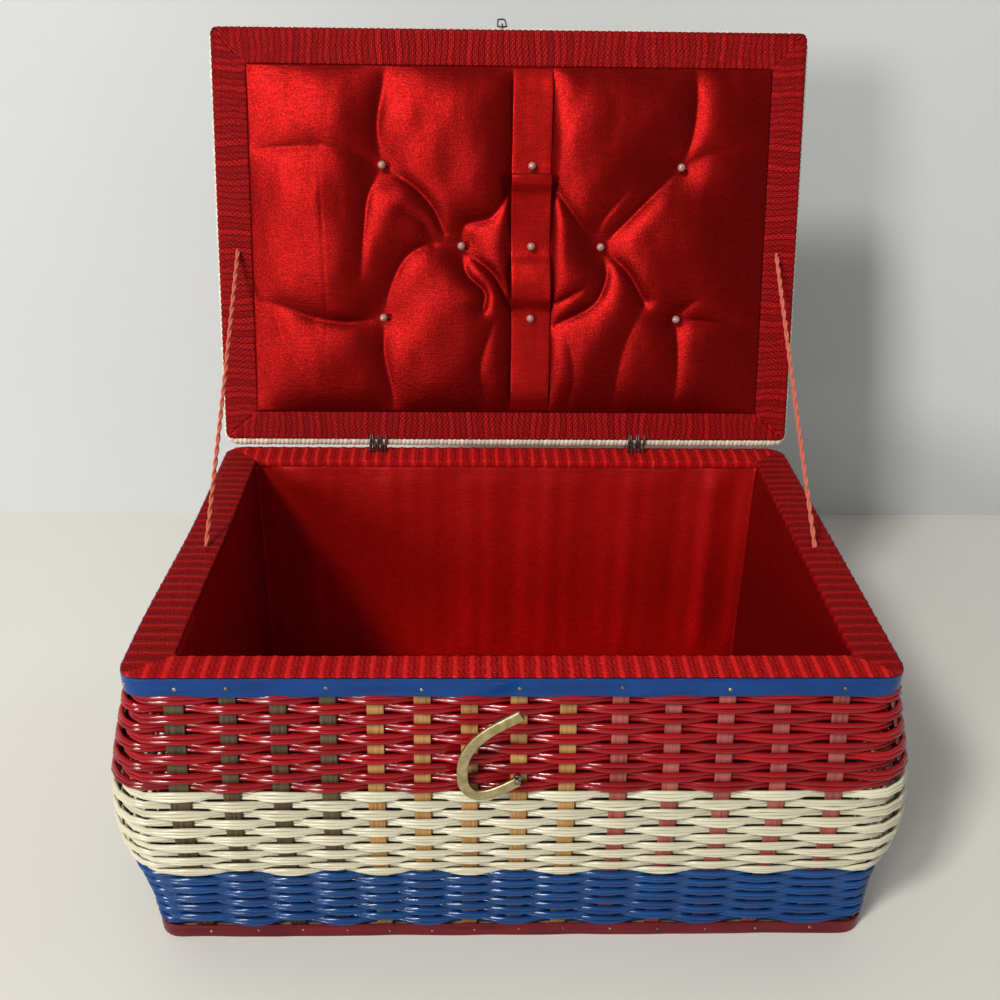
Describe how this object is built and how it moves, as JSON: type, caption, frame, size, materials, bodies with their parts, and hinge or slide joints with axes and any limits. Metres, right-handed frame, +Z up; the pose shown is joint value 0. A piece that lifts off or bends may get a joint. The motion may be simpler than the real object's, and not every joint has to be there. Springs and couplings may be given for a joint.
{
  "type": "sewing basket",
  "caption": "Woven sewing basket in three bands of colour, with a satin-lined box, a padded hinged lid on stay cords, pearl pins, a ribbon and a hook and loop latch.",
  "frame": {"origin": "centre of the underside of the base", "axes": "+Z up, -Y towards the front with the hook, +X to the right seen from the front"},
  "size_m": [0.3206, 0.2973, 0.342],
  "materials": {
    "base_board": "plain board",
    "base_band": "glossy dark red strip",
    "stakes_brown": "glossy olive brown strip",
    "stakes_amber": "glossy amber strip",
    "stakes_rose": "glossy rose strip",
    "weave_blue": "glossy blue strands",
    "weave_white": "glossy cream strands",
    "weave_red": "glossy crimson strands",
    "rim_hoop": "plain wooden hoop",
    "rim_band": "glossy blue strip",
    "liner": "plain cardboard",
    "lining": "gathered red satin",
    "bottom_pad": "red satin",
    "rim_braid": "ribbed red braid",
    "hinge_wire": "dark wire",
    "lid_border": "cream wrapped strands",
    "lid_weave": "cream strands",
    "lid_board": "plain cardboard",
    "lid_pad": "tufted red satin",
    "lid_braid": "ribbed red braid",
    "ribbon": "red satin ribbon",
    "pearl": "pearl",
    "latch_wire": "black wire",
    "hook": "worn satin brass",
    "stay_cord": "coral yarn"
  },
  "bodies": {
    "basket": {"base_board": "base_board", "base_band": "base_band", "stakes_brown": "stakes_brown", "stakes_amber": "stakes_amber", "stakes_rose": "stakes_rose", "weave_blue": "weave_blue", "weave_white": "weave_white", "weave_red": "weave_red", "rim_hoop": "rim_hoop", "rim_band": "rim_band", "liner": "liner", "lining": "lining", "bottom_pad": "bottom_pad", "rim_braid": "rim_braid", "hinge_left": "hinge_wire", "hinge_right": "hinge_wire", "hook_washer": "hook", "hook_rivet": "hook", "stay_cord_left": "stay_cord", "stay_cord_right": "stay_cord"},
    "lid": {"lid_border": "lid_border", "lid_weave": "lid_weave", "lid_board": "lid_board", "lid_pad": "lid_pad", "lid_braid": "lid_braid", "ribbon": "ribbon", "pad_pins": "pearl", "ribbon_pins": "pearl", "latch_staple": "latch_wire"},
    "latch_loop": {"latch_loop": "latch_wire"},
    "hook": {"hook": "hook"}
  },
  "joints": [
    {"name": "lid_hinge", "type": "hinge", "parent": "basket", "child": "lid", "pos_m": [0, 0.10032, 0.1417], "axis": [1, 0, 0], "range_deg": [0, 106], "deforming": ["stay_cord_left", "stay_cord_right"]},
    {"name": "latch_swing", "type": "hinge", "parent": "lid", "child": "latch_loop", "pos_m": [-0.004, 0.15716, 0.33992], "axis": [1, 0, 0], "range_deg": [-20, 155]},
    {"name": "hook_turn", "type": "hinge", "parent": "basket", "child": "hook", "pos_m": [-0.0005, -0.11387, 0.09545], "axis": [0, -1, 0], "range_deg": [-45, 30]}
  ]
}
